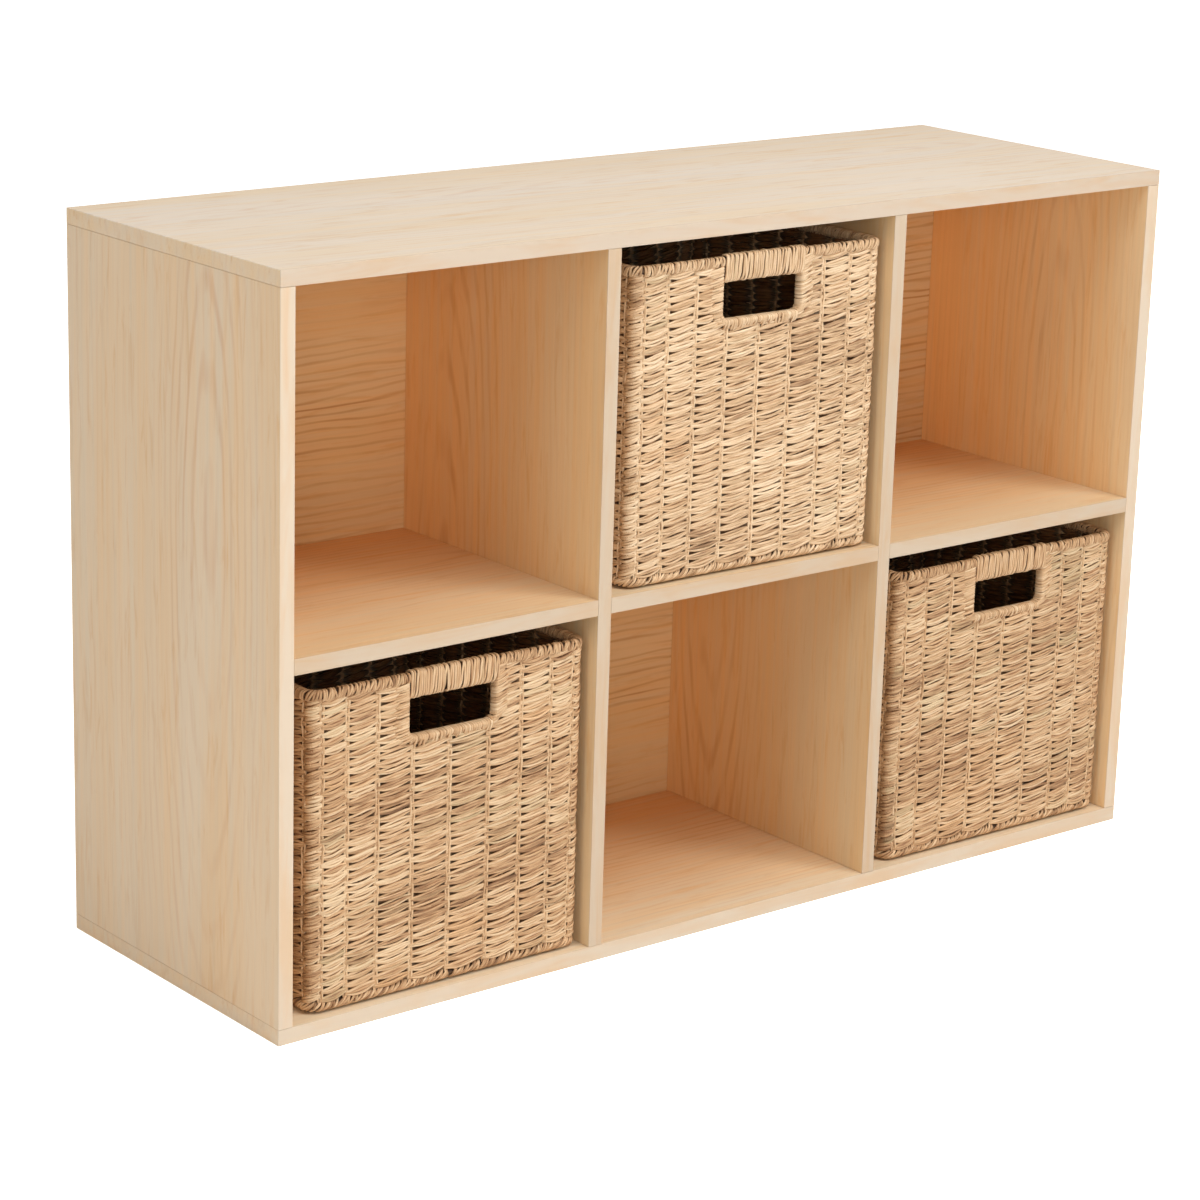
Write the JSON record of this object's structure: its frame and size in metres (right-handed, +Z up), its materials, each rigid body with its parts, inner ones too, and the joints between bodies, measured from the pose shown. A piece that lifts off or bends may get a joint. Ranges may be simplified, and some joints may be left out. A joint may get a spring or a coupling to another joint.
{
  "type": "cube storage unit",
  "caption": "Low open-fronted wooden unit of square cells with a recessed back, holding woven seagrass baskets that slide out, each with a hand hole in its front.",
  "frame": {"origin": "on the floor under the middle of the unit", "axes": "+X to the right seen from the open front, -Y out of the open front, +Z up"},
  "size_m": [0.9118, 0.298, 0.5961],
  "materials": {
    "board": "satin",
    "back": "satin",
    "beech": "matte",
    "zinc": "satin",
    "steel": "satin",
    "seagrass": "matte",
    "wrapping": "matte",
    "wire": "satin"
  },
  "bodies": {
    "carcass": {"top_panel": "board", "bottom_panel": "board", "side_panel_left": "board", "side_panel_right": "board", "divider_left": "board", "divider_right": "board", "shelf_left": "board", "shelf_middle": "board", "shelf_right": "board", "back_panel_left": "back", "back_panel_middle": "back", "back_panel_right": "back", "top_dowel_side_left": "beech", "cam_disc_side_left": "zinc", "cam_bolt_side_left": "steel", "shelf_dowel_side_left_front": "beech", "shelf_dowel_side_left_rear": "beech", "bottom_screw_side_left_front": "steel", "bottom_screw_side_left_rear": "steel", "top_dowel_divider_left": "beech", "cam_disc_divider_left": "zinc", "cam_bolt_divider_left": "steel", "shelf_dowel_divider_left_front": "beech", "shelf_dowel_divider_left_rear": "beech", "bottom_screw_divider_left_front": "steel", "bottom_screw_divider_left_rear": "steel", "top_dowel_divider_right": "beech", "cam_disc_divider_right": "zinc", "cam_bolt_divider_right": "steel", "shelf_dowel_divider_right_front": "beech", "shelf_dowel_divider_right_rear": "beech", "bottom_screw_divider_right_front": "steel", "bottom_screw_divider_right_rear": "steel", "top_dowel_side_right": "beech", "cam_disc_side_right": "zinc", "cam_bolt_side_right": "steel", "shelf_dowel_side_right_front": "beech", "shelf_dowel_side_right_rear": "beech", "bottom_screw_side_right_front": "steel", "bottom_screw_side_right_rear": "steel"},
    "basket_upper_middle": {"basket_upper_middle_body": "seagrass", "basket_upper_middle_rim_wrap": "wrapping", "basket_upper_middle_rim_wire": "wire", "basket_upper_middle_foot_border": "wrapping", "basket_upper_middle_handle_grip": "wrapping", "basket_upper_middle_hole_binding": "wrapping"},
    "basket_lower_left": {"basket_lower_left_body": "seagrass", "basket_lower_left_rim_wrap": "wrapping", "basket_lower_left_rim_wire": "wire", "basket_lower_left_foot_border": "wrapping", "basket_lower_left_handle_grip": "wrapping", "basket_lower_left_hole_binding": "wrapping"},
    "basket_lower_right": {"basket_lower_right_body": "seagrass", "basket_lower_right_rim_wrap": "wrapping", "basket_lower_right_rim_wire": "wire", "basket_lower_right_foot_border": "wrapping", "basket_lower_right_handle_grip": "wrapping", "basket_lower_right_hole_binding": "wrapping"}
  },
  "joints": [
    {"name": "basket_upper_middle_pull_out", "type": "slide", "parent": "carcass", "child": "basket_upper_middle", "axis": [0, -1, 0], "range_m": [0, 0.3]},
    {"name": "basket_lower_left_pull_out", "type": "slide", "parent": "carcass", "child": "basket_lower_left", "axis": [0, -1, 0], "range_m": [0, 0.3]},
    {"name": "basket_lower_right_pull_out", "type": "slide", "parent": "carcass", "child": "basket_lower_right", "axis": [0, -1, 0], "range_m": [0, 0.3]}
  ]
}
